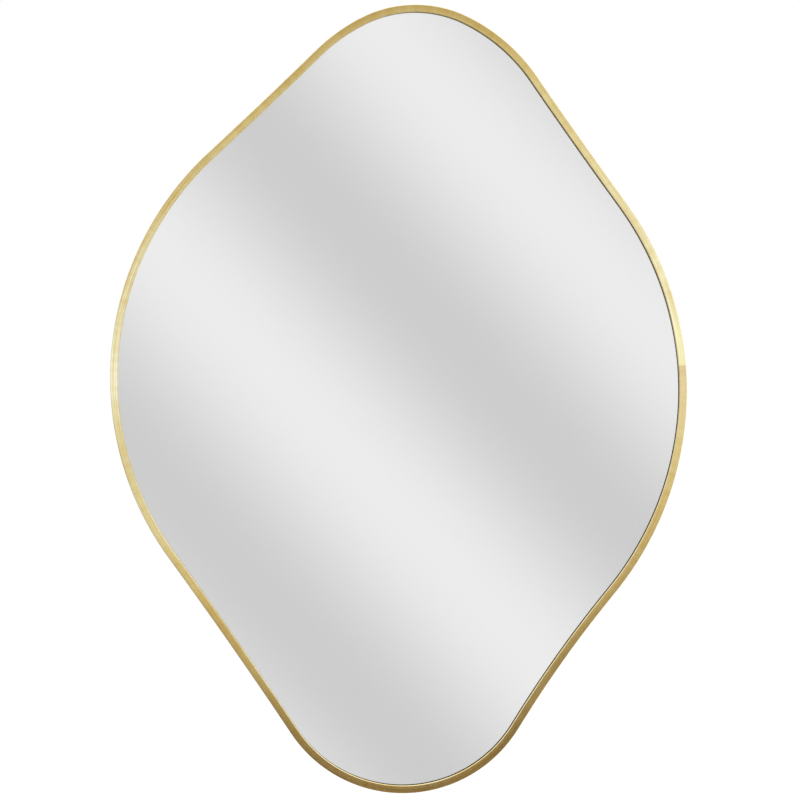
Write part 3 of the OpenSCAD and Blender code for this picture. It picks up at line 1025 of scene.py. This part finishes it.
    def _metal_view(self, tree: bpy.types.NodeTree, way: bpy.types.NodeSocket
                    ) -> tuple[bpy.types.NodeSocket, bpy.types.NodeSocket]:
        """Adds what bare metal shows: the wall in front of it, and the room round it.

        Args:
            tree: The world's node tree.
            way: The direction that a ray goes.

        Returns:
            The colour in that direction, and its strength.
        """
        side = add_node(tree, "ShaderNodeSeparateXYZ", {}, {0: way}).outputs
        tones = []
        for rises, tilt in ((self.room, self.room_tilt), (self.wall, self.wall_tilt)):
            rise = add_node(tree, "ShaderNodeVectorMath", {"operation": "DOT_PRODUCT"}, {
                0: way, 1: (tilt, 0, 1)}).outputs["Value"]
            reach = rises[-1][0]
            height = add_node(tree, "ShaderNodeMapRange", {}, {
                "Value": rise, "From Min": -reach, "From Max": reach}).outputs["Result"]
            ramp = add_node(tree, "ShaderNodeValToRGB", {}, {"Fac": height})
            stops = ramp.color_ramp.elements
            stops[0].position, stops[0].color = 0.0, linear(rises[0][1])
            stops[1].position, stops[1].color = 1.0, linear(rises[-1][1])
            for level, tone in rises[1:-1]:
                stops.new((level + reach) / (2 * reach)).color = linear(tone)
            tones.append(ramp.outputs["Color"])
        ahead = add_node(tree, "ShaderNodeMapRange", {"interpolation_type": "SMOOTHSTEP"}, {
            "Value": side["Y"], "From Min": self.wall_edge[0],
            "From Max": self.wall_edge[1]}).outputs["Result"]
        colour = add_node(tree, "ShaderNodeMix", {"data_type": "RGBA"}, {
            "Factor": ahead, 6: tones[0], 7: tones[1]}).outputs[2]
        front = add_node(tree, "ShaderNodeMapRange", {}, {
            "Value": side["X"], "From Min": -self.metal_level_reach,
            "From Max": self.metal_level_reach, "To Min": self.metal_level[0],
            "To Max": self.metal_level[1]}).outputs["Result"]
        strength = add_node(tree, "ShaderNodeMix", {}, {
            "Factor": ahead, "A": self.metal_room_level, "B": front}).outputs["Result"]
        return colour, strength

    def _floor(self) -> None:
        """Lays a plain pale floor below the mirror that keeps a soft shadow of it."""
        deselect_all()
        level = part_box("frame")[0].z - self.floor_drop
        bpy.ops.mesh.primitive_plane_add(size=self.floor_size, location=(0, 0, level))
        floor = bpy.context.object
        floor.name = "studio_floor"
        material = new_material("pale_floor")
        tree = material.node_tree
        paint, plain = (
            add_node(tree, "ShaderNodeBsdfDiffuse", {}, {"Color": (tone, tone, tone, 1)})
            for tone in (self.floor_shadow_tone, self.floor_tone))
        glow = add_node(tree, "ShaderNodeEmission", {}, {
            "Color": (1, 1, 1, 1), "Strength": self.floor_glow})
        seen = add_node(tree, "ShaderNodeAddShader", {}, {
            0: paint.outputs[0], 1: glow.outputs[0]})
        path = add_node(tree, "ShaderNodeLightPath")
        mixed = add_node(tree, "ShaderNodeMixShader", {}, {
            0: path.outputs["Is Camera Ray"], 1: plain.outputs[0], 2: seen.outputs[0]})
        add_node(tree, "ShaderNodeOutputMaterial", {}, {"Surface": mixed.outputs[0]})
        floor.data.materials.append(material)
        floor.visible_glossy = False
        floor.visible_transmission = False

    def _lamps(self) -> None:
        """Sets soft lamps in front and behind, which the mirror itself doesn't show."""
        # Each lamp's place in metres and its power in watts
        lamps = (
            ("key_front_left", (-1.6, -2.2, 1.6), 26.0),
            ("fill_front_right", (1.9, -1.8, 0.9), 16.0),
            ("key_back_right", (1.7, 2.2, 1.7), 28.0),
            ("fill_back_left", (-2.0, 1.8, 0.8), 14.0),
        )
        for name, place, power in lamps:
            data = bpy.data.lights.new(name, "AREA")
            data.size = self.lamp_size
            data.energy = power
            lamp = bpy.data.objects.new(name, data)
            lamp.location = place
            lamp.rotation_euler = Vector(place).to_track_quat("Z", "Y").to_euler()
            lamp.visible_glossy = False
            bpy.context.scene.collection.objects.link(lamp)


def build_hangers(zinc: bpy.types.Material) -> None:
    """Builds the four hangers and the screws that hold their straps.

    Args:
        zinc: Their finish.
    """
    hangers = (
        Hanger("portrait", "left", Body.PORTRAIT_RING_LEFT),
        Hanger("portrait", "right", Body.PORTRAIT_RING_RIGHT),
        Hanger("landscape", "upper", Body.LANDSCAPE_RING_UPPER),
        Hanger("landscape", "lower", Body.LANDSCAPE_RING_LOWER),
    )
    for hanger in hangers:
        hanger.build(zinc)
    screws = copy_of("strap_screws", "strap_screws_rounded")
    round_sharp_edges(screws, SCREW_ARRIS)
    shade(screws)
    hand_over(screws, Body.MIRROR, Slot.HARDWARE, [zinc], "strap_screws")


def main() -> None:
    """Builds the mirror and its studio."""
    logging.basicConfig(level=logging.INFO, format="%(name)s: %(message)s")
    bpy.context.scene.view_settings.view_transform = "Standard"
    Studio().build()
    zinc = ZincPlate().material()
    outline = Outline()
    ProfileFrame().build(outline, BrushedBrassTone(outline.length).material(), zinc)
    Mirror().build(FloatGlass().material(), SilverCoat().material(),
                   FoamTape("black_foam", "#1B1916", "#12110E").material(),
                   FoamTape("white_foam", "#F0F0EB", "#DCDCD6").material(),
                   SafetyFilm().material())
    Backing().build(Fibreboard().material(), MouldedRubber().material())
    build_hangers(zinc)


if __name__ == "__main__":
    main()
